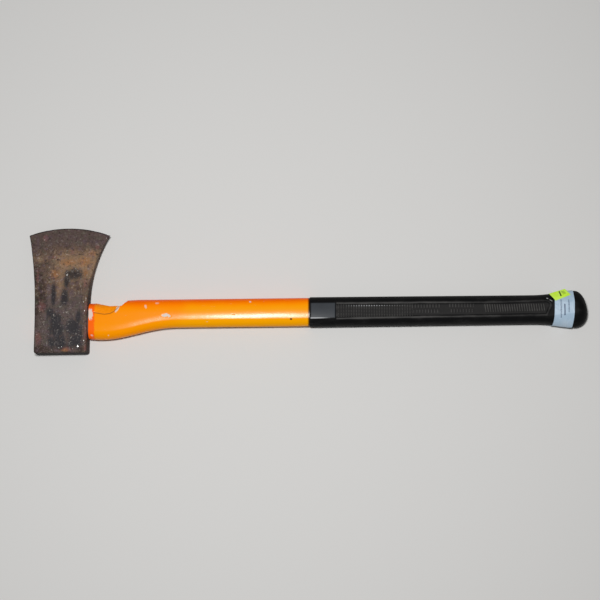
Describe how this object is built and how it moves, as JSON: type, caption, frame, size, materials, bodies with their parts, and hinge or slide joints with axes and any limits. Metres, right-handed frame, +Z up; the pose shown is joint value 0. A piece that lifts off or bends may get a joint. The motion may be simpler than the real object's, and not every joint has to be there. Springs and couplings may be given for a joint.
{
  "type": "fire axe",
  "caption": "Flat-head fire axe lying on its side: rusted forged head bonded to an orange fibreglass handle with a black rubber grip and knob.",
  "frame": {"origin": "on the lower cheek of the head, straight under the middle of the eye; this cheek's plane is the surface that the axe lies on", "axes": "+X along the handle from the head to the knob, +Y towards the cutting edge, +Z up, square to the flat cheeks"},
  "size_m": [0.9299, 0.2103, 0.0405],
  "materials": {
    "forged_steel": "rusted forged steel with remains of black scale",
    "fibreglass": "pultruded glass fibre, sealed inside",
    "orange_jacket": "glossy orange, redder at the front, scuffed",
    "epoxy": "set epoxy, tan",
    "black_rubber": "satin black with a knurled and ribbed panel",
    "label_paper": "blank pale blue paper",
    "fluorescent_paper": "blank fluorescent yellow-green paper"
  },
  "bodies": {
    "root": {"head": "forged_steel", "handle_rod": "fibreglass", "handle_jacket": "orange_jacket", "eye_bond": "epoxy", "eye_dam": "black_rubber", "grip": "black_rubber", "paper_label": "label_paper", "price_sticker": "fluorescent_paper"}
  },
  "joints": []
}
